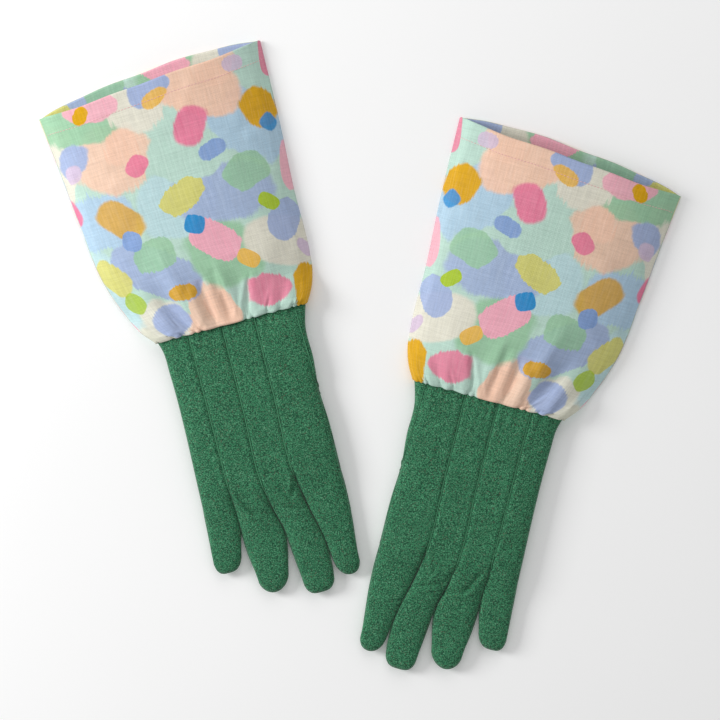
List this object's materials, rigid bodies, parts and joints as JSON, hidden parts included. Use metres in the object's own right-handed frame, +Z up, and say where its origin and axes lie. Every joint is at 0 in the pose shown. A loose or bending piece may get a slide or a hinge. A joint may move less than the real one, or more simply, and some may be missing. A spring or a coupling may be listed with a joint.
{
  "type": "pair of gauntlet gardening gloves",
  "caption": "Pair of gardening gloves with green suede-look hands, gathered elastic wrists and wide printed linen gauntlet cuffs, lying flat with the thumbs folded under.",
  "frame": {"origin": "centre of the pair's bounding box, on the table", "axes": "+Z up from the table; +Y towards the cuffs; +X from the right-hand glove to the left-hand glove. Each glove is turned 15 degrees about Z, with the cuffs apart"},
  "size_m": [0.4632, 0.4526, 0.021],
  "materials": {
    "green_suede": "matte flecked suede-look cloth",
    "printed_linen": "linen weave, painted dab print",
    "hem_thread": "pink sewing thread",
    "seam_thread": "light green sewing thread",
    "binding": "woven tape",
    "elastic": "white woven elastic"
  },
  "bodies": {
    "right_hand": {"right_palm_panel": "green_suede", "right_back_strip_little": "green_suede", "right_back_strip_ring": "green_suede", "right_back_strip_middle": "green_suede", "right_back_strip_index": "green_suede", "right_side_gusset": "green_suede", "right_wrist_binding": "binding", "right_wrist_elastic": "elastic", "right_back_seam_threads": "seam_thread"},
    "right_little_finger": {"right_little_finger_back": "green_suede", "right_little_finger_front": "green_suede", "right_little_finger_fourchette": "green_suede"},
    "right_ring_finger": {"right_ring_finger_back": "green_suede", "right_ring_finger_front": "green_suede", "right_ring_finger_fourchette": "green_suede"},
    "right_middle_finger": {"right_middle_finger_back": "green_suede", "right_middle_finger_front": "green_suede", "right_middle_finger_fourchette": "green_suede"},
    "right_index_finger": {"right_index_finger_back": "green_suede", "right_index_finger_front": "green_suede", "right_index_finger_fourchette": "green_suede"},
    "right_thumb": {"right_thumb_upper": "green_suede", "right_thumb_lower": "green_suede", "right_thumb_side_wall": "green_suede"},
    "right_cuff": {"right_cuff_back": "printed_linen", "right_cuff_front": "printed_linen", "right_cuff_hem": "printed_linen", "right_cuff_hem_thread": "hem_thread", "right_cuff_side_seam": "printed_linen"},
    "left_hand": {"left_palm_panel": "green_suede", "left_back_strip_little": "green_suede", "left_back_strip_ring": "green_suede", "left_back_strip_middle": "green_suede", "left_back_strip_index": "green_suede", "left_side_gusset": "green_suede", "left_wrist_binding": "binding", "left_wrist_elastic": "elastic", "left_back_seam_threads": "seam_thread"},
    "left_little_finger": {"left_little_finger_back": "green_suede", "left_little_finger_front": "green_suede", "left_little_finger_fourchette": "green_suede"},
    "left_ring_finger": {"left_ring_finger_back": "green_suede", "left_ring_finger_front": "green_suede", "left_ring_finger_fourchette": "green_suede"},
    "left_middle_finger": {"left_middle_finger_back": "green_suede", "left_middle_finger_front": "green_suede", "left_middle_finger_fourchette": "green_suede"},
    "left_index_finger": {"left_index_finger_back": "green_suede", "left_index_finger_front": "green_suede", "left_index_finger_fourchette": "green_suede"},
    "left_thumb": {"left_thumb_upper": "green_suede", "left_thumb_lower": "green_suede", "left_thumb_side_wall": "green_suede"},
    "left_cuff": {"left_cuff_back": "printed_linen", "left_cuff_front": "printed_linen", "left_cuff_hem": "printed_linen", "left_cuff_hem_thread": "hem_thread", "left_cuff_side_seam": "printed_linen"}
  },
  "joints": [
    {"name": "right_wrist_bend", "type": "hinge", "parent": "right_hand", "child": "right_cuff", "pos_m": [-0.0925, 0.02291, 0.0065], "axis": [-0.9659, -0.2588, 0], "range_deg": [-55, 55]},
    {"name": "right_thumb_unfold", "type": "hinge", "parent": "right_hand", "child": "right_thumb", "pos_m": [-0.0301, -0.01446, 0.0053], "axis": [0.2588, -0.9659, 0], "range_deg": [0, 150]},
    {"name": "right_little_bend", "type": "hinge", "parent": "right_hand", "child": "right_little_finger", "pos_m": [-0.10327, -0.1011, 0.0006], "axis": [0.9799, 0.1994, 0], "range_deg": [-20, 90]},
    {"name": "right_ring_bend", "type": "hinge", "parent": "right_hand", "child": "right_ring_finger", "pos_m": [-0.0813, -0.09522, 0.0006], "axis": [0.9613, 0.2756, 0], "range_deg": [-20, 90]},
    {"name": "right_middle_bend", "type": "hinge", "parent": "right_hand", "child": "right_middle_finger", "pos_m": [-0.05787, -0.08894, 0.0006], "axis": [0.9336, 0.3584, 0], "range_deg": [-20, 90]},
    {"name": "right_index_bend", "type": "hinge", "parent": "right_hand", "child": "right_index_finger", "pos_m": [-0.03034, -0.08156, 0.0006], "axis": [0.9511, 0.309, 0], "range_deg": [-20, 90]},
    {"name": "left_wrist_bend", "type": "hinge", "parent": "left_hand", "child": "left_cuff", "pos_m": [0.0925, -0.03249, 0.0065], "axis": [-0.9659, 0.2588, 0], "range_deg": [-55, 55]},
    {"name": "left_thumb_unfold", "type": "hinge", "parent": "left_hand", "child": "left_thumb", "pos_m": [0.0301, -0.06986, 0.0053], "axis": [0.2588, 0.9659, 0], "range_deg": [0, 150]},
    {"name": "left_little_bend", "type": "hinge", "parent": "left_hand", "child": "left_little_finger", "pos_m": [0.10327, -0.1565, 0.0006], "axis": [0.9799, -0.1994, 0], "range_deg": [-20, 90]},
    {"name": "left_ring_bend", "type": "hinge", "parent": "left_hand", "child": "left_ring_finger", "pos_m": [0.0813, -0.15062, 0.0006], "axis": [0.9613, -0.2756, 0], "range_deg": [-20, 90]},
    {"name": "left_middle_bend", "type": "hinge", "parent": "left_hand", "child": "left_middle_finger", "pos_m": [0.05787, -0.14434, 0.0006], "axis": [0.9336, -0.3584, 0], "range_deg": [-20, 90]},
    {"name": "left_index_bend", "type": "hinge", "parent": "left_hand", "child": "left_index_finger", "pos_m": [0.03034, -0.13696, 0.0006], "axis": [0.9511, -0.309, 0], "range_deg": [-20, 90]},
    {"name": "left_glove_lift", "type": "slide", "parent": "right_hand", "child": "left_hand", "axis": [0, 0, 1], "range_m": [0, 0.25]}
  ]
}
